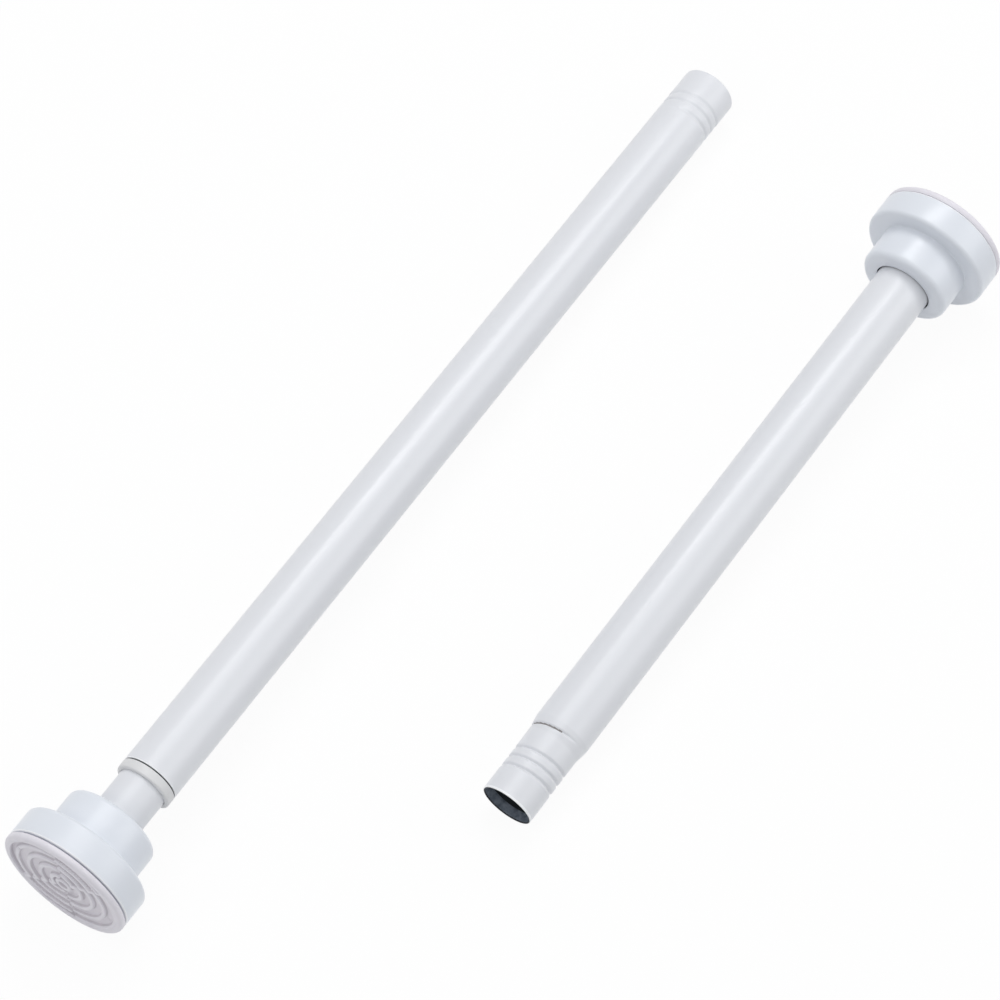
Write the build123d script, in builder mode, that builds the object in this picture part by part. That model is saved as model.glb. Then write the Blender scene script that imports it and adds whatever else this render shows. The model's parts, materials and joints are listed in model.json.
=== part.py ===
from build123d import *
from math import atan2, cos, radians, sin
import os

# Extendable curtain rod: a spring tension rod in two halves that screw together end to end.
# It lies unscrewed, the long half with its telescope and twist lock, the short half beside it.
# Along each half, x runs from its near end to its far end. Sizes are in millimetres.

# Tubes
TUBE_OD = 19.0
TUBE_WALL = 0.5
TELESCOPE_GAP = 1.0
INNER_WALL = 0.5
OUTER_LENGTH = 314.8
NECK_SHOWN = 13.8
SHORT_SHOWN = 219.6

# Spigot on the short half and the socket that takes it
SPIGOT_GAP = 0.25
SPIGOT_LENGTH = 24.0
SWAGE_LENGTH = 4.7
STOP_RING_HEIGHT = 0.5
STOP_RING_LENGTH = 1.0

# End caps
CAP_D = 43.5
FLANGE_DEPTH = 9.8
BOSS_D = 31.0
BOSS_LENGTH = 12.9
CAP_BEVEL = 2.0
TUBE_SEAT = 14.3

# Rubber pads and their tread
PAD_THICK = 2.6
PAD_BEVEL = 1.2
TREAD_RIM = 2.8
TREAD_DEPTH = 1.4
TREAD_PITCH = 4.2
TREAD_ROWS = 4
TREAD_WIDTH = 1.9
TREAD_RUNS = 3
TREAD_TURN = -7.0

# Guide collar in the mouth of the outer tube
COLLAR_SHOWN = 3.7
COLLAR_SLEEVE = 15.0

# Twist lock
LOCK_ROOM = 1.0
LOCK_RING_LENGTH = 14.0
LOCK_SLIT = 3.0
JOURNAL_D = 9.0
JOURNAL_OFFSET = 1.0
JOURNAL_PLAY = 0.45
SPINDLE_GAP = 1.2
SPINDLE_FLANGE = 2.5
STEM_FLATS = 8.0
GUIDE_FLANGE = 4.0
GUIDE_PLUG = 14.0

# Spring
PLUNGE = 12.0
SEAT_THICK = 4.0
TENON_FLATS = 5.0
SPRING_LENGTH = 48.0
SPRING_GAP = 0.7
SPRING_TURNS = 7
SPRING_SIDES = 8
WIRE = 1.4
STOP_LENGTH = 8.0

# Clearances
PRESS_GAP = 0.05
REST_GAP = 0.1
SLIDE_GAP = 0.2

# How the short half lies beside the long one
SHORT_AHEAD = 99.5
SHORT_ASIDE = 90.6
SHORT_YAW = -1.9

# Radii that follow
tube_r = TUBE_OD / 2
tube_bore = tube_r - TUBE_WALL
inner_r = tube_bore - TELESCOPE_GAP
inner_bore = inner_r - INNER_WALL
spigot_r = tube_bore - SPIGOT_GAP
cap_r = CAP_D / 2
boss_r = BOSS_D / 2
tread_r = cap_r - TREAD_RIM

# Places along a cap, from the face of its pad
flange_back = PAD_THICK + FLANGE_DEPTH
cap_length = flange_back + BOSS_LENGTH
tube_start = cap_length - TUBE_SEAT

# Places along the long half
collar_start = cap_length + NECK_SHOWN
outer_start = collar_start + COLLAR_SHOWN
long_end = outer_start + OUTER_LENGTH
socket_start = long_end - SPIGOT_LENGTH
stop_ring_start = socket_start - STOP_RING_LENGTH
lock_end = stop_ring_start - LOCK_ROOM
journal_end = lock_end - SPINDLE_FLANGE
ring_start = journal_end - SLIDE_GAP - LOCK_RING_LENGTH
journal_start = ring_start - SLIDE_GAP
stem_end = journal_start - SPINDLE_FLANGE
guide_end = stem_end - SLIDE_GAP - PLUNGE
inner_end = guide_end - GUIDE_FLANGE
guide_start = inner_end - GUIDE_PLUG
seat_end = guide_start - REST_GAP
seat_start = seat_end - SEAT_THICK
spring_start = seat_start - SPRING_LENGTH

# Places along the short half
swage_end = SPIGOT_LENGTH + SWAGE_LENGTH
short_end = SHORT_SHOWN + cap_length
short_tube_end = short_end - tube_start

# Each half lies on the rim of its flange and on the lower edge of its open end
rim_x = flange_back - CAP_BEVEL
long_tilt = atan2(cap_r - tube_r, long_end - rim_x)
short_tilt = atan2(cap_r - spigot_r, short_end - rim_x)
long_height = long_end * sin(long_tilt) + tube_r * cos(long_tilt)
short_height = spigot_r * cos(short_tilt)

# The origin is under the middle of the box that holds both halves
near_x = -(cap_r - PAD_BEVEL) * sin(long_tilt)
far_x = long_end * cos(long_tilt) + tube_r * sin(long_tilt)
short_y = short_end * cos(short_tilt) * sin(radians(SHORT_YAW)) - SHORT_ASIDE
middle = Vector((near_x + far_x) / 2, short_y / 2, 0)


def rod_plane(start, yaw, climb):
    """The upright plane through a rod: x along it, y up from it."""
    lying = Plane(start - middle, x_dir=(1, 0, 0), z_dir=(0, -1, 0)).rotated((0, 0, yaw))
    along = lying.x_dir * cos(climb) + Vector(0, 0, sin(climb))
    return Plane(lying.origin, x_dir=along, z_dir=lying.z_dir)


def across(rod, x):
    """The plane square to a rod at x along it."""
    return Plane(rod.from_local_coords((x, 0, 0)), x_dir=rod.y_dir, z_dir=rod.x_dir)


long_rod = rod_plane(Vector(0, 0, long_height), 0, -long_tilt)
short_rod = rod_plane(Vector(SHORT_AHEAD, -SHORT_ASIDE, short_height), SHORT_YAW, short_tilt)
short_pad_face = short_rod.from_local_coords((short_end, 0, 0))
short_cap_rod = Plane(short_pad_face, x_dir=-short_rod.x_dir, z_dir=-short_rod.z_dir)
long_axis = Axis(long_rod.origin, long_rod.x_dir)
short_axis = Axis(short_rod.origin, short_rod.x_dir)
os.makedirs("parts", exist_ok=True)


def tread_ridge(half, row):
    """The points of one ridge in half a turn: it winds half a pitch, jogs back and runs level."""
    level = half / 2
    winding = [(run, level + (0.5 - half) * run / TREAD_RUNS) for run in range(TREAD_RUNS + 1)]
    points = []
    for run, shift in winding + [(run, level) for run in range(TREAD_RUNS, 3 * TREAD_RUNS + 1)]:
        turn = TREAD_TURN + 180 * half + 60 * run / TREAD_RUNS
        points.append(Vector(tread_r - TREAD_PITCH * (row + shift), 0).rotate(Axis.Z, turn))
    return points


# Rubber pad: a round block on the face of the cap, with a rim and zigzag ridges on its own face
def rubber_pad(rod):
    with BuildPart() as pad:
        with BuildSketch(rod):
            with BuildLine():
                Polyline(
                    (0, 0), (0, cap_r - PAD_BEVEL), (PAD_BEVEL, cap_r), (PAD_THICK, cap_r), (PAD_THICK, 0),
                    close=True,
                )
            make_face()
        revolve(axis=Axis(rod.origin, rod.x_dir))
        with BuildSketch(across(rod, 0)):
            Circle(tread_r)
            for half in (0, 1):
                for row in range(TREAD_ROWS):
                    with BuildLine():
                        Polyline(*tread_ridge(half, row))
                    trace(line_width=TREAD_WIDTH, mode=Mode.SUBTRACT)
        extrude(amount=TREAD_DEPTH, mode=Mode.SUBTRACT)
    return pad.part


# End cap: a flange that carries the pad, and a boss with a socket that the tube is pressed into
def end_cap(rod, outside_r):
    mouth_r = outside_r + PRESS_GAP
    with BuildPart() as cap:
        with BuildSketch(rod):
            with BuildLine():
                Polyline(
                    (PAD_THICK, 0), (PAD_THICK, cap_r), (rim_x, cap_r), (flange_back, cap_r - CAP_BEVEL),
                    (flange_back, boss_r), (cap_length - CAP_BEVEL, boss_r), (cap_length, boss_r - CAP_BEVEL),
                    (cap_length, mouth_r), (tube_start, mouth_r), (tube_start, 0), close=True,
                )
            make_face()
        revolve(axis=Axis(rod.origin, rod.x_dir))
    return cap.part


left_pad = rubber_pad(long_rod)
left_pad.label = "left_pad"
export_step(left_pad, "parts/left_pad.step")

right_pad = rubber_pad(short_cap_rod)
right_pad.label = "right_pad"
export_step(right_pad, "parts/right_pad.step")

left_cap = end_cap(long_rod, inner_r)
left_cap.label = "left_cap"
export_step(left_cap, "parts/left_cap.step")

right_cap = end_cap(short_cap_rod, tube_r)
right_cap.label = "right_cap"
export_step(right_cap, "parts/right_cap.step")

# Inner tube, from its seat in the left cap to the end guide inside the outer tube
with BuildPart() as inner_tube:
    with BuildSketch(across(long_rod, tube_start)):
        Circle(inner_r)
        Circle(inner_bore, mode=Mode.SUBTRACT)
    extrude(amount=inner_end - tube_start)
inner_tube.part.label = "inner_tube"
export_step(inner_tube.part, "parts/inner_tube.step")

# Outer tube of the long half, with a ring inside its far end that the spigot stops against
with BuildPart() as outer_tube:
    with BuildSketch(long_rod):
        with BuildLine():
            Polyline(
                (outer_start, tube_r), (long_end, tube_r), (long_end, tube_bore), (socket_start, tube_bore),
                (socket_start, tube_bore - STOP_RING_HEIGHT), (stop_ring_start, tube_bore - STOP_RING_HEIGHT),
                (stop_ring_start, tube_bore), (outer_start, tube_bore), close=True,
            )
        make_face()
    revolve(axis=long_axis)
outer_tube.part.label = "outer_tube"
export_step(outer_tube.part, "parts/outer_tube.step")

# Tube of the short half, swaged down at its near end to the spigot
with BuildPart() as short_tube:
    with BuildSketch(short_rod):
        with BuildLine():
            Polyline(
                (0, spigot_r), (SPIGOT_LENGTH, spigot_r), (swage_end, tube_r), (short_tube_end, tube_r),
                (short_tube_end, tube_bore), (swage_end, tube_bore), (SPIGOT_LENGTH, spigot_r - TUBE_WALL),
                (0, spigot_r - TUBE_WALL), close=True,
            )
        make_face()
    revolve(axis=short_axis)
short_tube.part.label = "short_tube"
export_step(short_tube.part, "parts/short_tube.step")

# Guide collar: a bead on the mouth of the outer tube and a sleeve inside it
with BuildPart() as guide_collar:
    with BuildSketch(across(long_rod, collar_start)):
        Circle(tube_r)
    extrude(amount=COLLAR_SHOWN)
    with BuildSketch(across(long_rod, outer_start)):
        Circle(tube_bore - PRESS_GAP)
    extrude(amount=COLLAR_SLEEVE)
    with BuildSketch(across(long_rod, collar_start)):
        Circle(inner_r + SLIDE_GAP)
    extrude(amount=COLLAR_SHOWN + COLLAR_SLEEVE, mode=Mode.SUBTRACT)
guide_collar.part.label = "guide_collar"
export_step(guide_collar.part, "parts/guide_collar.step")

# End guide: a plug in the inner tube, with a sliding rim and a six-sided hole for the stem
with BuildPart() as end_guide:
    with BuildSketch(across(long_rod, guide_start)):
        Circle(inner_bore - PRESS_GAP)
    extrude(amount=GUIDE_PLUG)
    with BuildSketch(across(long_rod, inner_end)):
        Circle(tube_bore - SLIDE_GAP)
    extrude(amount=GUIDE_FLANGE)
    with BuildSketch(across(long_rod, guide_start)):
        RegularPolygon(STEM_FLATS / 2 + SLIDE_GAP, 6, major_radius=False)
    extrude(amount=GUIDE_PLUG + GUIDE_FLANGE, mode=Mode.SUBTRACT)
end_guide.part.label = "end_guide"
export_step(end_guide.part, "parts/end_guide.step")

# Lock spindle: an eccentric journal between two flanges, and a six-sided stem with a six-sided tenon
with BuildPart() as lock_spindle:
    with BuildSketch(across(long_rod, journal_end), across(long_rod, stem_end)):
        Circle(tube_bore - SPINDLE_GAP)
    extrude(amount=SPINDLE_FLANGE)
    with BuildSketch(across(long_rod, journal_start)):
        with Locations((JOURNAL_OFFSET, 0)):
            Circle(JOURNAL_D / 2)
    extrude(amount=journal_end - journal_start)
    with BuildSketch(across(long_rod, seat_end)):
        RegularPolygon(STEM_FLATS / 2, 6, major_radius=False)
    extrude(amount=stem_end - seat_end)
    with BuildSketch(across(long_rod, seat_start)):
        RegularPolygon(TENON_FLATS / 2, 6, major_radius=False)
    extrude(amount=SEAT_THICK)
lock_spindle.part.label = "lock_spindle"
export_step(lock_spindle.part, "parts/lock_spindle.step")

# Lock ring: a split sleeve that the journal wedges against the bore of the outer tube
with BuildPart() as lock_ring:
    with BuildSketch(across(long_rod, ring_start)):
        Circle(tube_bore - SLIDE_GAP)
        with Locations((JOURNAL_OFFSET, 0)):
            Circle(JOURNAL_D / 2 + JOURNAL_PLAY, mode=Mode.SUBTRACT)
        Rectangle(TUBE_OD, LOCK_SLIT, align=(Align.MIN, Align.CENTER), mode=Mode.SUBTRACT)
    extrude(amount=LOCK_RING_LENGTH)
lock_ring.part.label = "lock_ring"
export_step(lock_ring.part, "parts/lock_ring.step")

# Spring seat, pressed on the tenon of the spindle
with BuildPart() as spring_seat:
    with BuildSketch(across(long_rod, seat_start)):
        Circle(inner_bore - SLIDE_GAP)
        RegularPolygon(TENON_FLATS / 2 + PRESS_GAP, 6, major_radius=False, mode=Mode.SUBTRACT)
    extrude(amount=SEAT_THICK)
spring_seat.part.label = "spring_seat"
export_step(spring_seat.part, "parts/spring_seat.step")

# Tension spring inside the inner tube, wound in short straight runs
coil_r = inner_bore - SPRING_GAP - WIRE / 2
coil_rise = SPRING_LENGTH - WIRE - 2 * REST_GAP
coil_runs = SPRING_TURNS * SPRING_SIDES
coil_base = across(long_rod, spring_start + REST_GAP + WIRE / 2)
coil_points = [
    coil_base.from_local_coords(
        Vector(coil_r, 0, coil_rise * run / coil_runs).rotate(Axis.Z, 360 * run / SPRING_SIDES)
    )
    for run in range(coil_runs + 1)
]
with BuildPart() as tension_spring:
    with BuildLine():
        coil = Polyline(*coil_points)
    with BuildSketch(Plane(coil @ 0, x_dir=long_rod.x_dir, z_dir=coil % 0)):
        Rectangle(WIRE, WIRE)
    sweep(path=coil, transition=Transition.RIGHT)
tension_spring.part.label = "tension_spring"
export_step(tension_spring.part, "parts/tension_spring.step")

# Spring stop, a plug staked in the inner tube
with BuildPart() as spring_stop:
    with BuildSketch(across(long_rod, spring_start)):
        Circle(inner_bore - PRESS_GAP)
    extrude(amount=-STOP_LENGTH)
spring_stop.part.label = "spring_stop"
export_step(spring_stop.part, "parts/spring_stop.step")
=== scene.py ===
import json
from math import cos, pi, radians, sin

import bmesh
import bpy
import numpy as np
from mathutils import Matrix, Vector


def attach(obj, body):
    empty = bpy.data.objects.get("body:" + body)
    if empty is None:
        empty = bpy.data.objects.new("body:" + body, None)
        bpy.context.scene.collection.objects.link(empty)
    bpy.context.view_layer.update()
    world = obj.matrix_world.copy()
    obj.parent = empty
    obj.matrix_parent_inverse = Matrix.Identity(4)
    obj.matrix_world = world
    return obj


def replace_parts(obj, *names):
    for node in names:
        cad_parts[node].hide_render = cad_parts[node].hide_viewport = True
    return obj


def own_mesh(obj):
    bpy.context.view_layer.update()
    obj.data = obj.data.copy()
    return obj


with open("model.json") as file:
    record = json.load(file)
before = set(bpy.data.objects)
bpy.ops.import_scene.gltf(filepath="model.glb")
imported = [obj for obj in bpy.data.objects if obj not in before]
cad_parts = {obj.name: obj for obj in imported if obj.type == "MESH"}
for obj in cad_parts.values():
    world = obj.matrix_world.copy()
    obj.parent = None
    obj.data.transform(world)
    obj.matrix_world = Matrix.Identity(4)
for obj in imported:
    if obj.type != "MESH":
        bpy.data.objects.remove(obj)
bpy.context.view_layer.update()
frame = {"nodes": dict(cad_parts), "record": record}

# Sizes of the rod in millimetres, the same as the CAD's, apart from CAP_R
TUBE_R = 9.5
TUBE_BORE = 9.0
INNER_R = 8.0
INNER_BORE = 7.5
SPIGOT_R = 8.75
SPIGOT_BORE = 8.25
SPIGOT_END = 24.0
SWAGE_END = 28.7
CAP_R = 21.72  # 0.03 less than the CAD's, so that the mesh stays inside its box
BOSS_R = 15.5
PAD_THICK = 2.6
TREAD_R = 18.95
TREAD_DEPTH = 1.4
TREAD_PITCH = 4.2
TREAD_ROWS = 4
TREAD_TURN = radians(-7)
FLANGE_BACK = 12.4
CAP_LENGTH = 25.3
TUBE_START = 11.0
COLLAR_START = 39.1
COLLAR_SLEEVE = 15.0
OUTER_START = 42.8
LONG_END = 357.6
INNER_END = 296.0
STOP_RING = (332.6, 333.6)
STOP_RING_HEIGHT = 0.5
SHORT_END = 244.9
SPRING_START = 229.9
SPRING_LENGTH = 48.0
COIL_R = 6.1
COIL_TURNS = 7
WIRE_R = 0.7
REST_GAP = 0.1
MM = 1000  # millimetres in a metre

# The axes of the two halves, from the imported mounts
mounts = {m["name"]: m for m in frame["record"]["mounts"]}


class Rod:
    """A straight axis in the CAD frame: x in millimetres along it, angles clockwise from its upper side."""

    def __init__(self, point, along, x):
        self.along = Vector(along).normalized()
        self.origin = Vector(point) - self.along * (x / MM)
        self.aside = self.along.cross((0, 0, 1)).normalized()
        self.up = self.aside.cross(self.along)

    def grid(self, x, r, turn):
        """Points in metres for arrays of x, radius and angle."""
        o, a, u, s = (np.array(v) for v in (self.origin, self.along, self.up, self.aside))
        across = np.cos(turn)[..., None] * u + np.sin(turn)[..., None] * s
        return o + (np.asarray(x)[..., None] * a + np.asarray(r)[..., None] * across) / MM

    def point(self, x):
        """A point on the axis itself."""
        return self.grid(x, 0.0, np.array(0.0))


rail, spigot = mounts["rail"], mounts["spigot"]
long_rod = Rod(rail["pos_m"], rail["axis"], (OUTER_START + LONG_END) / 2)
short_rod = Rod(spigot["pos_m"], [-c for c in spigot["axis"]], SPIGOT_END / 2)
short_cap_rod = Rod(short_rod.point(SHORT_END), -short_rod.along, 0)

# Meshes
LONGEST_ROUND = 0.49  # the share of a side that one rounded corner may take
SHARP_PAST = 34  # degrees between two faces, past which their edge stays sharp
SOFT_SHARP_PAST = 60  # the same for the pads and the spring


def new_piece(name, verts, faces, material_ids=None, materials=(), sharp=SHARP_PAST):
    """A smooth mesh object with edges kept sharp past an angle in degrees."""
    mesh = bpy.data.meshes.new(name)
    mesh.from_pydata([tuple(v) for v in verts], [], faces)
    mesh.validate()
    for m in materials:
        mesh.materials.append(m)
    if material_ids is not None:
        mesh.polygons.foreach_set("material_index", material_ids)
    mesh.shade_smooth()
    mesh.set_sharp_from_angle(angle=radians(sharp))
    piece = bpy.data.objects.new(name, mesh)
    bpy.context.scene.collection.objects.link(piece)
    tidy_mesh(mesh)
    return piece


def tidy_mesh(mesh):
    """Drops loose pole points and turns the faces outwards."""
    bm = bmesh.new()
    bm.from_mesh(mesh)
    bmesh.ops.delete(bm, geom=[v for v in bm.verts if not v.link_faces], context="VERTS")
    bmesh.ops.recalc_face_normals(bm, faces=bm.faces)
    bm.to_mesh(mesh)
    bm.free()


def ring_faces(first, second, segments):
    """Four-sided faces between two rings of points, which start at the two given points."""
    k = np.arange(segments)
    n = (k + 1) % segments
    return np.stack([first + k, first + n, second + n, second + k], 1).tolist()


def rounded(corners, steps):
    """A closed outline of (x, r, radius) corners with each corner rounded to its radius."""
    out = []
    count = len(corners)
    for i, (x, r, fillet) in enumerate(corners):
        p = np.array((x, r))
        a = np.array(corners[i - 1][:2]) - p
        b = np.array(corners[(i + 1) % count][:2]) - p
        if fillet <= 0:
            out.append((x, r))
            continue
        la, lb = np.linalg.norm(a), np.linalg.norm(b)
        a, b = a / la, b / lb
        half = np.arccos(np.clip(a @ b, -1, 1)) / 2
        reach = min(fillet / np.tan(half), LONGEST_ROUND * la, LONGEST_ROUND * lb)
        fillet = reach * np.tan(half)
        centre = p + (a + b) / np.linalg.norm(a + b) * fillet / np.sin(half)
        first, last = p + a * reach - centre, p + b * reach - centre
        sweep = np.arccos(np.clip(first @ last / fillet**2, -1, 1))
        for k in range(steps + 1):
            t = k / steps
            arm = (np.sin((1 - t) * sweep) * first + np.sin(t * sweep) * last) / np.sin(sweep)
            out.append(tuple(centre + arm))
    return out


def with_rows(outline, low, high, step):
    """The outline with extra rows on its long runs between two places, for what is rolled into them."""
    out = []
    for (xa, ra), (xb, rb) in zip(outline, outline[1:] + outline[:1]):
        out.append((xa, ra))
        inside = [x for x in np.arange(low, high + step / 2, step) if min(xa, xb) < x < max(xa, xb)]
        for x in inside if xb > xa else reversed(inside):
            out.append((x, ra + (rb - ra) * (x - xa) / (xb - xa)))
    return out


def lathe(name, rod, outline, materials, segments, press=None, pick=None):
    """A closed outline turned about a rod.

    press says how far a place is pressed in, and pick which material it has.
    """
    x, r = np.array(outline).T
    turn = np.linspace(0, 2 * pi, segments, endpoint=False)
    xs, ts = np.meshgrid(x, turn, indexing="ij")
    rs = np.repeat(r[:, None], segments, 1)
    if press:
        rs = rs - np.where(rs > 0, press(xs, ts), 0)
    verts = rod.grid(xs, rs, ts).reshape(-1, 3)
    k = np.arange(segments)
    n = (k + 1) % segments
    faces, ids = [], []
    for i in range(len(outline)):
        j = (i + 1) % len(outline)
        a, b = i * segments, j * segments
        if r[i] <= 0 and r[j] <= 0:
            continue
        if r[i] <= 0:
            faces += np.stack([a + 0 * k, b + n, b + k], 1).tolist()
        elif r[j] <= 0:
            faces += np.stack([a + k, a + n, b + 0 * k], 1).tolist()
        else:
            faces += ring_faces(a, b, segments)
        middle = (x[i] + x[j]) / 2, (r[i] + r[j]) / 2
        ids += pick(*middle, turn + pi / segments).tolist() if pick else [0] * segments
    return new_piece(name, verts, faces, ids, materials)


def smooth_step(value, low, high):
    """0 up to low, 1 from high, and a smooth rise between them."""
    t = np.clip((value - low) / (high - low), 0, 1)
    return t * t * (3 - 2 * t)


# Materials: noise scales are per metre, and depths are in metres
NOISE_LOW, NOISE_HIGH = 0.3, 0.7  # the range that a noise mostly keeps to
TONE_DETAIL, GLOSS_DETAIL, GRAIN_DETAIL = 4.0, 3.0, 2.0
GLOSS_FINER = 4  # how much finer the patches of gloss are than those of colour
GRAIN_STRENGTH = 0.25


def material(name, colour, roughness, metallic=0.0):
    mat = bpy.data.materials.new(name)
    mat.use_nodes = True
    shader = mat.node_tree.nodes["Principled BSDF"]
    shader.inputs["Base Color"].default_value = (*colour, 1)
    shader.inputs["Roughness"].default_value = roughness
    shader.inputs["Metallic"].default_value = metallic
    return mat, mat.node_tree.nodes, mat.node_tree.links, shader


def noise(nodes, links, place, scale, detail, stretch):
    """A noise that follows the object, stretched along one way where asked."""
    node = nodes.new("ShaderNodeTexNoise")
    node.inputs["Scale"].default_value = scale
    node.inputs["Detail"].default_value = detail
    source = place.outputs["Object"]
    if stretch:
        mapping = nodes.new("ShaderNodeMapping")
        mapping.inputs["Scale"].default_value = stretch
        links.new(source, mapping.inputs["Vector"])
        source = mapping.outputs["Vector"]
    links.new(source, node.inputs["Vector"])
    return node.outputs["Fac"]


def between(nodes, links, factor, low, high):
    """A colour between two colours."""
    node = nodes.new("ShaderNodeMix")
    node.data_type = "RGBA"
    node.inputs["A"].default_value = (*low, 1)
    node.inputs["B"].default_value = (*high, 1)
    links.new(factor, node.inputs["Factor"])
    return node.outputs["Result"]


def span(nodes, links, factor, low, high):
    """A number between two numbers, from a noise."""
    node = nodes.new("ShaderNodeMapRange")
    node.inputs["From Min"].default_value = NOISE_LOW
    node.inputs["From Max"].default_value = NOISE_HIGH
    node.inputs["To Min"].default_value = low
    node.inputs["To Max"].default_value = high
    links.new(factor, node.inputs["Value"])
    return node.outputs["Result"]


def bump(nodes, links, shader, height, strength, distance):
    node = nodes.new("ShaderNodeBump")
    node.inputs["Strength"].default_value = strength
    node.inputs["Distance"].default_value = distance
    links.new(height, node.inputs["Height"])
    links.new(node.outputs["Normal"], shader.inputs["Normal"])


def surface(name, dark, light, rough, grain, grain_depth, metallic=0.0, patch=45.0, stretch=None):
    """A finish with slow changes of colour, uneven gloss and a fine grain."""
    mat, nodes, links, shader = material(name, light, rough[0], metallic)
    place = nodes.new("ShaderNodeTexCoord")
    tone = noise(nodes, links, place, patch, TONE_DETAIL, stretch)
    colour = between(nodes, links, span(nodes, links, tone, 0, 1), dark, light)
    links.new(colour, shader.inputs["Base Color"])
    gloss = noise(nodes, links, place, patch * GLOSS_FINER, GLOSS_DETAIL, stretch)
    links.new(span(nodes, links, gloss, *rough), shader.inputs["Roughness"])
    height = noise(nodes, links, place, grain, GRAIN_DETAIL, stretch)
    bump(nodes, links, shader, height, GRAIN_STRENGTH, grain_depth)
    return mat


MOULDED = {"grain": 1500, "grain_depth": 0.00001}
SATIN = {"grain": 1500, "grain_depth": 0.00003}
RUBBERY = {"grain": 2600, "grain_depth": 0.00003, "patch": 180}
METAL_WALL = {"grain": 1200, "grain_depth": 0.00006}
paint = surface("tube_paint", (0.738, 0.748, 0.782), (0.758, 0.769, 0.802), (0.28, 0.32),
                grain=900, grain_depth=0.00002, stretch=(0.08, 1, 1))
plastic = surface("cap_plastic", (0.74, 0.77, 0.825), (0.75, 0.78, 0.835), (0.28, 0.3), **MOULDED)
# painted highlight: a lighter colour for edges that catch the light
painted_highlight = surface("painted_highlight_edge", (0.9, 0.91, 0.93), (0.93, 0.94, 0.96), (0.28, 0.32), **MOULDED)
collar_mat = surface("collar_plastic", (0.68, 0.68, 0.69), (0.71, 0.71, 0.715), (0.38, 0.46), **SATIN)
rubber = surface("pad_rubber", (0.745, 0.723, 0.775), (0.785, 0.762, 0.815), (0.42, 0.52), **RUBBERY)
# painted shade: the tread's grooves a little darker, and its ridge flanks darker still
painted_shade_groove = surface("pad_groove_painted_shade", (0.73, 0.702, 0.75), (0.77, 0.742, 0.79), (0.5, 0.6), **RUBBERY)
painted_shade_flank = surface("pad_flank_painted_shade", (0.59, 0.56, 0.6), (0.64, 0.61, 0.65), (0.55, 0.65), **RUBBERY)
# near-black: bare steel in the tubes, and painted shade in the deep bores, the cap sockets and the collar
# joint
bare_steel_and_shade = surface("bare_bore_painted_shade", (0.02, 0.024, 0.03), (0.035, 0.04, 0.048), (0.4, 0.5), **METAL_WALL,
                     metallic=0.3)
# slate for the bore near a mouth; deeper in, the bore is painted near-black as shade
bore_by_mouth = surface("bore_by_mouth", (0.1, 0.12, 0.155), (0.26, 0.3, 0.36), (0.45, 0.6), **METAL_WALL,
                       patch=700)
# painted shade: a dark colour for the deep part of the crease
painted_shade_crease = surface("painted_shade_crease", (0.3, 0.285, 0.285), (0.36, 0.34, 0.34), (0.5, 0.6),
                      grain=1200, grain_depth=0.00003)
nylon = surface("lock_plastic", (0.7, 0.7, 0.68), (0.74, 0.74, 0.72), (0.4, 0.5), **SATIN)
spring_mat = surface("spring_steel", (0.5, 0.5, 0.52), (0.58, 0.58, 0.6), (0.25, 0.35),
                     grain=2000, grain_depth=0.00003, metallic=1.0)

# End caps: a flange and a boss with round edges, and a socket for the tube
FRONT_ROUND = 0.5
BACK_ROUND = 1.5
STEP_ROUND = 0.4
BOSS_ROUND = 2.2
MOUTH_ROUND = 0.3
MOUTH_GAP = 0.4
MOUTH_DEPTH = 4.0
MOUTH_LIP = 0.4
SOCKET_FIT = 0.05
# the cap's front edge gets a lighter colour as a painted highlight
HIGHLIGHT_DEPTH = 0.45
HIGHLIGHT_WIDTH = 0.6
TOUCH = 0.01  # a place this near to a wall counts as on it


def end_cap(name, rod, tube_r):
    mouth = tube_r + MOUTH_GAP
    mouth_floor = CAP_LENGTH - MOUTH_DEPTH
    socket = tube_r + SOCKET_FIT
    outline = rounded([
        (PAD_THICK, 0, 0), (PAD_THICK, CAP_R, FRONT_ROUND), (FLANGE_BACK, CAP_R, BACK_ROUND),
        (FLANGE_BACK, BOSS_R, STEP_ROUND), (CAP_LENGTH, BOSS_R, BOSS_ROUND), (CAP_LENGTH, mouth, MOUTH_ROUND),
        (mouth_floor, mouth, 0), (mouth_floor, socket, 0), (TUBE_START, socket, 0), (TUBE_START, 0, 0),
    ], steps=9)

    def pick(x, r, turn):
        # the front edge takes the painted highlight
        front_edge = x < PAD_THICK + HIGHLIGHT_DEPTH and r > CAP_R - HIGHLIGHT_WIDTH
        # the inside of the socket is painted near-black as shade
        in_socket = x < CAP_LENGTH - MOUTH_LIP and r < mouth + TOUCH
        return np.full(turn.shape, 1 if front_edge else 2 if in_socket else 0)

    cap = lathe(name, rod, outline, [plastic, painted_highlight, bare_steel_and_shade], segments=192, pick=pick)
    return cap


left_cap = end_cap("left_cap_moulding", long_rod, INNER_R)
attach(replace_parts(left_cap, "left_cap"), "plunger")
right_cap = end_cap("right_cap_moulding", short_cap_rod, TUBE_R)
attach(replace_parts(right_cap, "right_cap"), "rod")

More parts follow.
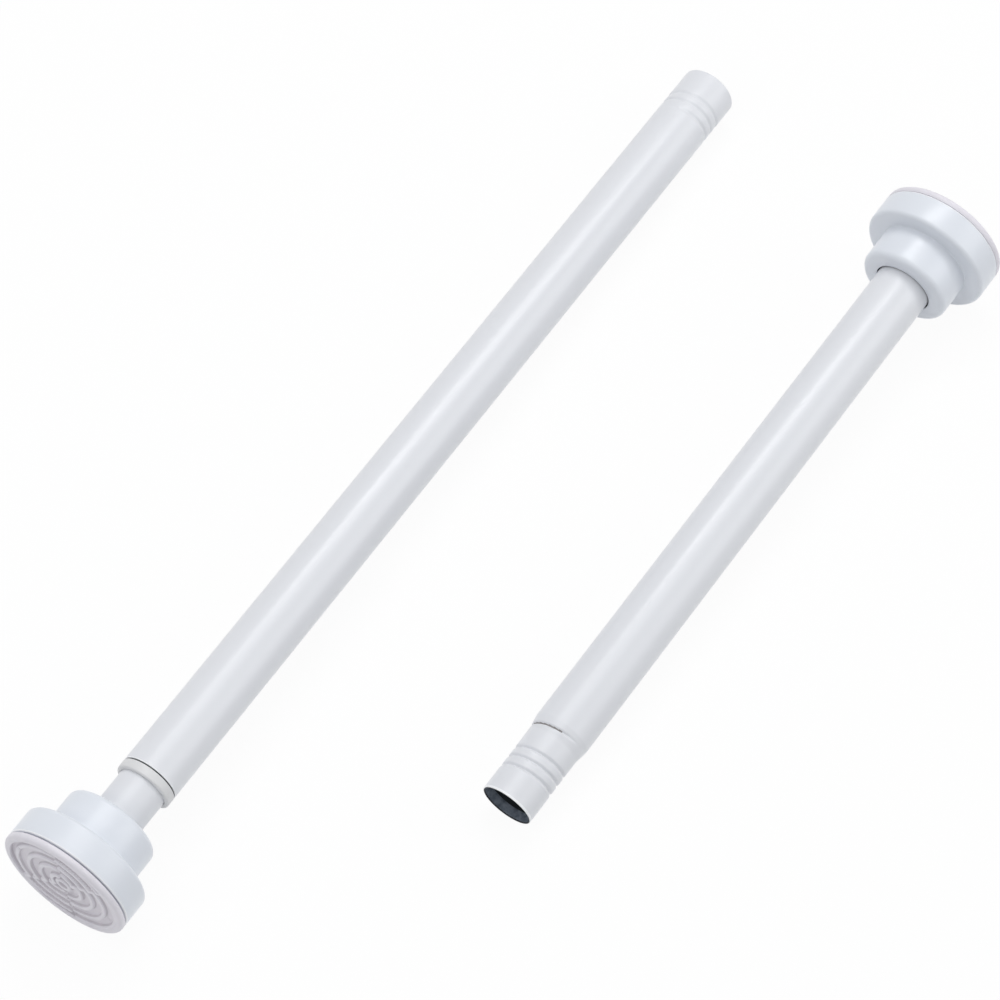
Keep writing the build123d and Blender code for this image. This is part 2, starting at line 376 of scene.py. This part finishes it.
# Rubber pads: a round rim, and in its pocket zigzag ridges that wind half a pitch, jog back and run level
RIDGE_HALF = 0.8
RIDGE_ROUND = 0.35
RIDGE_INSET = 0.35
JOG_TURN = pi / 3
SPLIT_HALF = 0.8
HUB_R = 2.2
RIM_SLOPE = 0.45
PITS = (radians(112), radians(292))
PIT_R = 16.8
PIT_WIDTH = 0.7
PIT_DEPTH = 0.5
PAD_R = CAP_R - 0.02
PAD_EDGE = 1.3
PAD_LIP = 0.15
PAD_NECK = 3.0
PAD_MIDDLE_R = 0.25
PAD_SEGMENTS = 420
FACE_END = TREAD_R + 0.4
FACE_ROWS = 130
EDGE_ROWS = 12
# depths past which the tread is painted darker as shade
GROOVE_SHADE_FROM = TREAD_DEPTH - 0.1
FLANK_SHADE_FROM = RIDGE_INSET + 0.3
LEFT_PAD_GAP = 0.6
RIGHT_PAD_GAP = 0.08


def tread_distance(r, turn):
    """How far each place on the pad's face is from the middle of the nearest ridge."""
    near = np.abs(r - HUB_R)
    for half in (0, 1):
        shift = 0.5 - half
        swing = np.mod(turn - TREAD_TURN - pi * half + pi / 2, 2 * pi) - pi / 2
        wound = np.where(swing < JOG_TURN, np.clip(swing / JOG_TURN, 0, 1) * shift, 0)
        before = SPLIT_HALF - r * np.sin(np.minimum(swing, pi / 2))
        after = SPLIT_HALF - r * np.sin(np.minimum(pi - swing, pi / 2))
        beyond = np.maximum(np.maximum(before, after), 0)
        for row in range(TREAD_ROWS):
            level = TREAD_R - TREAD_PITCH * (row + half / 2)
            near = np.minimum(near, np.hypot(r - level + TREAD_PITCH * wound, beyond))
            low, high = sorted((level, level - TREAD_PITCH * shift))
            ahead = r * np.cos(swing - JOG_TURN)
            over = np.maximum(np.maximum(low - ahead, ahead - high), 0)
            near = np.minimum(near, np.hypot(r * np.sin(swing - JOG_TURN), over))
    return near


def tread_depth(r, turn):
    """How deep the pad's face lies below its rim."""
    away = tread_distance(r, turn)
    ridge = 1 - smooth_step(away, RIDGE_HALF - RIDGE_ROUND, RIDGE_HALF + RIDGE_ROUND)
    rim = smooth_step(r, TREAD_R, TREAD_R + RIM_SLOPE)
    pocket = TREAD_DEPTH - (TREAD_DEPTH - RIDGE_INSET) * ridge
    pit = 0 * r
    for place in PITS:
        pit += np.exp(-((r**2 + PIT_R**2 - 2 * r * PIT_R * np.cos(turn - place)) / PIT_WIDTH**2))
    return pocket * (1 - rim) + PIT_DEPTH * pit


def rubber_pad(name, rod, gap):
    """A pad with its tread, whose round back edge stands off the cap by a gap."""
    face_r = np.linspace(PAD_MIDDLE_R, FACE_END, FACE_ROWS)
    edge = [(PAD_EDGE * (1 - sin(a)), PAD_R - PAD_EDGE * (1 - cos(a)))
            for a in np.linspace(pi / 2, 0, EDGE_ROWS)]
    back = PAD_THICK - gap
    neck_r = PAD_R - PAD_NECK
    neck = [(back - PAD_LIP, PAD_R), (back, PAD_R - PAD_LIP), (back, neck_r), (PAD_THICK, neck_r),
            (PAD_THICK, PAD_MIDDLE_R)]
    side_x, side_r = np.array(edge + neck).T
    turn = np.linspace(0, 2 * pi, PAD_SEGMENTS, endpoint=False)
    rs, ts = np.meshgrid(np.concatenate([face_r, side_r]), turn, indexing="ij")
    xs = np.repeat(np.concatenate([0 * face_r, side_x])[:, None], PAD_SEGMENTS, 1)
    xs[:FACE_ROWS] = tread_depth(rs[:FACE_ROWS], ts[:FACE_ROWS])
    verts = rod.grid(xs, rs, ts).reshape(-1, 3)
    last_ring = len(verts) - PAD_SEGMENTS
    faces = []
    for ring in range(0, last_ring, PAD_SEGMENTS):
        faces += ring_faces(ring, ring + PAD_SEGMENTS, PAD_SEGMENTS)
    k = np.arange(PAD_SEGMENTS)
    faces.append(k[::-1].tolist())
    faces.append((last_ring + k).tolist())
    depth = xs[:-1].copy()
    depth[FACE_ROWS:] = 0
    # grooves and ridge flanks get painted shade by their depth
    shade_tones = np.select([depth > GROOVE_SHADE_FROM, depth > FLANK_SHADE_FROM], [1, 2], 0)
    ids = shade_tones.reshape(-1).tolist() + [0, 0]
    pad = new_piece(name, verts, faces, ids, [rubber, painted_shade_groove, painted_shade_flank], SOFT_SHARP_PAST)
    return pad


left_pad = rubber_pad("left_pad_tread", long_rod, LEFT_PAD_GAP)
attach(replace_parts(left_pad, "left_pad"), "plunger")
right_pad = rubber_pad("right_pad_tread", short_cap_rod, RIGHT_PAD_GAP)
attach(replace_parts(right_pad, "right_pad"), "rod")

# Rolled thread: a helical groove pressed into the wall
THREAD_PITCH = 3.45
THREAD_TURNS = 2.6
THREAD_FADE = 0.15


def rolled_thread(start, depth, half_width, first_turn):
    """How far the wall is pressed in by a groove that starts at a place and angle and winds along the rod."""

    def press(x, turn):
        turns = (turn - first_turn) / (2 * pi)
        wound = (x - start - THREAD_PITCH * turns) / THREAD_PITCH
        near = (wound - np.round(wound)) * THREAD_PITCH
        run = np.round(wound) + turns
        begun = smooth_step(run, -THREAD_FADE, THREAD_FADE)
        ended = smooth_step(run, THREAD_TURNS - THREAD_FADE, THREAD_TURNS + THREAD_FADE)
        return depth * begun * (1 - ended) * np.exp(-((near / half_width) ** 2))

    return press


# Tubes: painted outside, with a rolled edge; inside, slate near each open mouth and bare metal painted
# near-black as shade beyond
# the second finish is bare steel darkened as painted shade, the fourth a painted highlight on edges and the
# fifth a painted shade in the crease
PAINTED, BARE_AND_SHADE, BY_MOUTH, HIGHLIGHT, CREASE_SHADE = range(5)
# past this far from a mouth the bore is painted near-black as shade
SHADE_FROM_MOUTH = 3.4
PAINT_FROM = 0.1  # how far outside its bore a plain wall counts as painted


def tube_finish(middle, mouth=None):
    """Picks paint for the outside of a wall, slate for its bore near a mouth, and beyond that bare metal
    painted near-black as shade.
    """

    def pick(x, r, turn):
        by_a_mouth = mouth is not None and abs(x - mouth) < SHADE_FROM_MOUTH
        return np.full(turn.shape, PAINTED if r > middle(x) else BY_MOUTH if by_a_mouth else BARE_AND_SHADE)

    return pick


# Outer tube: a painted highlight on its edge at the collar, with a stop ring and a thread near its open end
COLLAR_EDGE = 0.3
OPEN_EDGE = 0.2
BORE_EDGE = 0.15
# the tube's end at the collar gets a painted highlight
HIGHLIGHT_END = OUTER_START + 0.35
OUTER_THREAD_START = LONG_END - 17.8
OUTER_ROWS = (LONG_END - 20.5, LONG_END - 0.4, 0.2)  # from, to and step
outer_thread = rolled_thread(OUTER_THREAD_START, depth=0.42, half_width=0.6, first_turn=0.0)
stop_r = TUBE_BORE - STOP_RING_HEIGHT
outer_outline = rounded([
    (OUTER_START, TUBE_BORE, BORE_EDGE), (OUTER_START, TUBE_R, COLLAR_EDGE),
    (LONG_END, TUBE_R, OPEN_EDGE), (LONG_END, TUBE_BORE, BORE_EDGE),
    (STOP_RING[1], TUBE_BORE, 0), (STOP_RING[1], stop_r, OPEN_EDGE),
    (STOP_RING[0], stop_r, OPEN_EDGE), (STOP_RING[0], TUBE_BORE, 0),
], steps=4)
outer_outline = with_rows(outer_outline, HIGHLIGHT_END, HIGHLIGHT_END, step=1)
outer_outline = with_rows(outer_outline, *OUTER_ROWS)


def outer_finish(x, r, turn):
    """The finish of the tube, with a painted highlight on its edge at the collar."""
    finish = tube_finish(lambda x: TUBE_BORE + PAINT_FROM, LONG_END)(x, r, turn)
    return finish if x > HIGHLIGHT_END else np.where(finish == PAINTED, HIGHLIGHT, finish)


outer_finishes = [paint, bare_steel_and_shade, bore_by_mouth, painted_highlight]
outer_tube = lathe("outer_tube_painted", long_rod, outer_outline, outer_finishes, segments=160,
                   press=outer_thread, pick=outer_finish)
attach(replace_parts(outer_tube, "outer_tube"), "rod")

# Inner tube: plain, with both of its ends hidden
INNER_EDGE = 0.1
inner_outline = rounded([
    (TUBE_START, INNER_BORE, 0), (TUBE_START, INNER_R, INNER_EDGE),
    (INNER_END, INNER_R, INNER_EDGE), (INNER_END, INNER_BORE, 0),
], steps=3)
inner_tube = lathe("inner_tube_painted", long_rod, inner_outline, [paint, bare_steel_and_shade], segments=144,
                   pick=tube_finish(lambda x: INNER_BORE + PAINT_FROM))
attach(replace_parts(inner_tube, "inner_tube"), "plunger")

# Short tube: the spigot with its thread, and a crease on one side where the swage begins, dark in its deep
# part with painted shade
SPIGOT_EDGE = 0.36
NECK_ROUND = 6.0
SWAGE_ROUND = 2.5
HIDDEN_EDGE = 0.1
DARK_LIP = 0.4
# the outside of the mouth's edge gets a painted highlight
HIGHLIGHT_LIP = 0.75
SPIGOT_PAINT_FROM = 0.2
SPIGOT_THREAD_START = 9.0
SPIGOT_ROWS = (0.4, 31, 0.15)  # from, to and step
CREASE_HALF = 0.36
CREASE_DEPTH = 0.6
CREASE_AFTER = 2.1
CREASE_SLANT = 0.7
CREASE_RISE = radians(-125), radians(-85)
CREASE_FALL = radians(5), radians(60)
# where the crease is deep enough to be painted dark as shade
SHADE_STRENGTH = 0.93
SHADE_SHARE = 0.7
spigot_thread = rolled_thread(SPIGOT_THREAD_START, depth=0.65, half_width=0.5, first_turn=-pi / 2)


def signed_turn(turn):
    return np.mod(turn + pi, 2 * pi) - pi


def crease_strength(turn):
    place = signed_turn(turn)
    return smooth_step(place, *CREASE_RISE) * (1 - smooth_step(place, *CREASE_FALL))


def crease_offset(x, turn):
    return x - SPIGOT_END - CREASE_AFTER - CREASE_SLANT * signed_turn(turn)


def spigot_press(x, turn):
    crease = crease_strength(turn) * np.exp(-((crease_offset(x, turn) / CREASE_HALF) ** 2))
    return spigot_thread(x, turn) + CREASE_DEPTH * crease


def spigot_wall(x):
    """The radius past which the wall counts as painted."""
    return np.interp(x, [SPIGOT_END, SWAGE_END], [SPIGOT_BORE, TUBE_BORE]) + SPIGOT_PAINT_FROM


def spigot_finish(x, r, turn):
    """The finish of the tube, with a painted highlight on the edge at the mouth and painted shade in the deep
    part of the crease.
    """
    in_crease = np.abs(crease_offset(x, turn)) < SHADE_SHARE * CREASE_HALF
    finish = tube_finish(spigot_wall, 0.0)(x, r, turn)
    # the inner lip of the mouth also takes the near-black colour
    if x < DARK_LIP:
        finish = np.where(finish == BY_MOUTH, BARE_AND_SHADE, finish)
    if x < HIGHLIGHT_LIP:
        finish = np.where(finish == PAINTED, HIGHLIGHT, finish)
    # the deep part of the crease takes painted shade
    return np.where(in_crease & (crease_strength(turn) > SHADE_STRENGTH), CREASE_SHADE, finish)


cap_end = SHORT_END - TUBE_START
short_outline = rounded([
    (0, SPIGOT_R, SPIGOT_EDGE), (SPIGOT_END, SPIGOT_R, NECK_ROUND), (SWAGE_END, TUBE_R, SWAGE_ROUND),
    (cap_end, TUBE_R, HIDDEN_EDGE), (cap_end, TUBE_BORE, 0),
    (SWAGE_END, TUBE_BORE, SWAGE_ROUND), (SPIGOT_END, SPIGOT_BORE, NECK_ROUND), (0, SPIGOT_BORE, HIDDEN_EDGE),
], steps=6)
short_outline = with_rows(short_outline, *SPIGOT_ROWS)
short_finishes = [paint, bare_steel_and_shade, bore_by_mouth, painted_highlight, painted_shade_crease]
short_tube = lathe("short_tube_painted", short_rod, short_outline, short_finishes, segments=180,
                   press=spigot_press, pick=spigot_finish)
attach(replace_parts(short_tube, "short_tube"), "rod")

# Guide collar: a bead with a round near edge, a joint to the tube darkened with painted shade, and a sleeve
# inside it
COLLAR_JOINT = OUTER_START - 0.42
COLLAR_ROUND = 1.35
COLLAR_MOUTH_EDGE = 0.1
COLLAR_BACK_EDGE = 0.2
COLLAR_BORE = INNER_R + 0.08
SLEEVE_R = TUBE_BORE - 0.05
SLEEVE_END = OUTER_START + COLLAR_SLEEVE
SLEEVE_EDGE = 0.3
JOINT_SHADE_FROM = INNER_R + 0.5
JOINT_SHADE_TO = TUBE_R - 0.15
collar_outline = rounded([
    (COLLAR_START, COLLAR_BORE, COLLAR_MOUTH_EDGE), (COLLAR_START, TUBE_R, COLLAR_ROUND),
    (COLLAR_JOINT, TUBE_R, COLLAR_BACK_EDGE), (COLLAR_JOINT, SLEEVE_R, 0),
    (SLEEVE_END, SLEEVE_R, SLEEVE_EDGE), (SLEEVE_END, COLLAR_BORE, COLLAR_BACK_EDGE),
], steps=7)


def collar_finish(x, r, turn):
    """Painted shade: dark in the joint between the bead and the tube, and on the sleeve inside the tube."""
    # the joint's faces are painted near-black as shade
    in_shaded_joint = x > COLLAR_JOINT - TOUCH and JOINT_SHADE_FROM < r < JOINT_SHADE_TO
    return np.full(turn.shape, int(in_shaded_joint))


collar = lathe("guide_collar_moulding", long_rod, collar_outline, [collar_mat, bare_steel_and_shade], segments=160,
               pick=collar_finish)
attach(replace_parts(collar, "guide_collar"), "rod")

# The lock inside keeps its CAD solids
for node in ("end_guide", "lock_spindle", "lock_ring", "spring_seat", "spring_stop"):
    frame["nodes"][node].data.materials.clear()
    frame["nodes"][node].data.materials.append(nylon)

# Tension spring: a round wire coiled about the rod, carried with the inner tube
WIRE_SIDES = 10
STEPS_A_TURN = 40


def coil_spring(name, rod):
    along = np.linspace(0, 1, COIL_TURNS * STEPS_A_TURN + 1)[:, None]
    round_wire = np.linspace(0, 2 * pi, WIRE_SIDES, endpoint=False)[None, :]
    first = SPRING_START + REST_GAP + WIRE_R
    rise = SPRING_LENGTH - 2 * REST_GAP - 2 * WIRE_R
    xs = first + rise * along + WIRE_R * np.sin(round_wire)
    rs = COIL_R + WIRE_R * np.cos(round_wire) + 0 * along
    verts = rod.grid(xs, rs, 2 * pi * COIL_TURNS * along + 0 * round_wire).reshape(-1, 3)
    last_ring = len(verts) - WIRE_SIDES
    k = np.arange(WIRE_SIDES)
    faces = [k[::-1].tolist(), (last_ring + k).tolist()]
    for ring in range(0, last_ring, WIRE_SIDES):
        faces += ring_faces(ring, ring + WIRE_SIDES, WIRE_SIDES)
    return new_piece(name, verts, faces, None, [spring_mat], SOFT_SHARP_PAST)


spring = coil_spring("tension_spring_coil", long_rod)
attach(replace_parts(spring, "tension_spring"), "plunger")
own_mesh(spring)

# Stage: a white floor that keeps a soft shadow, in a white room
scene = bpy.context.scene
scene.view_settings.view_transform = "Standard"
FLOOR_HALF = 6
FLOOR_DROP = 0.0002
FLOOR_COLOUR = (0.92, 0.92, 0.92)
FLOOR_ROUGHNESS = 0.9
FLOOR_GLOW = 0.94
WORLD_COLOUR = (0.96, 0.98, 1.0, 1)
WORLD_STRENGTH = 0.45


def seen_directly(nodes, links):
    """1 for what the camera sees by itself, in a mirror or through glass."""
    path = nodes.new("ShaderNodeLightPath")
    seen = path.outputs["Is Camera Ray"]
    for ray in ("Is Glossy Ray", "Is Transmission Ray"):
        either = nodes.new("ShaderNodeMath")
        either.operation = "MAXIMUM"
        links.new(seen, either.inputs[0])
        links.new(path.outputs[ray], either.inputs[1])
        seen = either.outputs[0]
    return seen


def mixed(nodes, links, share, plain, white):
    """A shader between two shaders."""
    mix = nodes.new("ShaderNodeMixShader")
    links.new(share, mix.inputs["Fac"])
    links.new(plain.outputs[0], mix.inputs[1])
    links.new(white.outputs[0], mix.inputs[2])
    return mix.outputs[0]


def white_floor():
    """A floor that the camera sees nearly white, with a faint shadow under the object."""
    corners = [(-FLOOR_HALF, -FLOOR_HALF, 0), (FLOOR_HALF, -FLOOR_HALF, 0),
               (FLOOR_HALF, FLOOR_HALF, 0), (-FLOOR_HALF, FLOOR_HALF, 0)]
    mesh = bpy.data.meshes.new("floor")
    mesh.from_pydata(corners, [], [(0, 1, 2, 3)])
    floor = bpy.data.objects.new("floor", mesh)
    floor.location.z = -FLOOR_DROP
    scene.collection.objects.link(floor)
    mat, nodes, links, shader = material("floor", FLOOR_COLOUR, FLOOR_ROUGHNESS)
    shader.inputs["Specular IOR Level"].default_value = 0.0
    glow = nodes.new("ShaderNodeEmission")
    glow.inputs["Strength"].default_value = 1.0
    share = nodes.new("ShaderNodeMath")
    share.operation = "MULTIPLY"
    share.inputs[1].default_value = FLOOR_GLOW
    links.new(seen_directly(nodes, links), share.inputs[0])
    finish = mixed(nodes, links, share.outputs[0], shader, glow)
    links.new(finish, nodes["Material Output"].inputs["Surface"])
    mesh.materials.append(mat)
    return floor


def white_room():
    """A world that is white to the camera and lights the object with a weak, slightly cool light."""
    world = bpy.data.worlds.new("studio")
    world.use_nodes = True
    nodes, links = world.node_tree.nodes, world.node_tree.links
    fill = nodes["Background"]
    fill.inputs["Color"].default_value = WORLD_COLOUR
    fill.inputs["Strength"].default_value = WORLD_STRENGTH
    white = nodes.new("ShaderNodeBackground")
    white.inputs["Color"].default_value = (1, 1, 1, 1)
    white.inputs["Strength"].default_value = 1.0
    finish = mixed(nodes, links, seen_directly(nodes, links), fill, white)
    links.new(finish, nodes["World Output"].inputs["Surface"])
    return world


def lamp(name, place, target, size, power):
    """A soft rectangular lamp, in metres and watts."""
    light = bpy.data.lights.new(name, "AREA")
    light.shape = "RECTANGLE"
    light.size, light.size_y = size
    light.energy = power
    holder = bpy.data.objects.new(name, light)
    holder.location = place
    aim = Vector(target) - Vector(place)
    holder.rotation_euler = aim.to_track_quat("-Z", "Y").to_euler()
    scene.collection.objects.link(holder)


white_floor()
scene.world = white_room()
lamp("overhead", place=(0.1, 0.3, 1.6), target=(0, 0, 0), size=(1.5, 1.1), power=8.3)
lamp("strip", place=(0.62, 0.25, 1.05), target=(0.1, 0.0, 0.0), size=(0.7, 0.1), power=3.0)
lamp("side", place=(0.9, -1.35, 0.85), target=(0, 0, 0), size=(1.2, 1.0), power=6.2)
lamp("front", place=(-0.55, 0.2, 0.55), target=(-0.18, 0.05, 0.02), size=(0.3, 0.2), power=0.5)

# Camera at the photograph's place
SENSOR_WIDTH = 36
LENS = 126.13
EYE = (-0.4461, -0.2853, 0.9738)
camera = bpy.data.cameras.new("camera")
camera.sensor_width = SENSOR_WIDTH
camera.lens = LENS
eye = bpy.data.objects.new("camera", camera)
scene.collection.objects.link(eye)
look = Vector((0.40926, 0.27475, -0.87005)).normalized()
right = Vector((0.55741, -0.83024, 0)).normalized()
above = right.cross(look)
facing = Matrix((right, above, -look)).transposed().to_4x4()
eye.matrix_world = Matrix.Translation(EYE) @ facing
scene.camera = eye
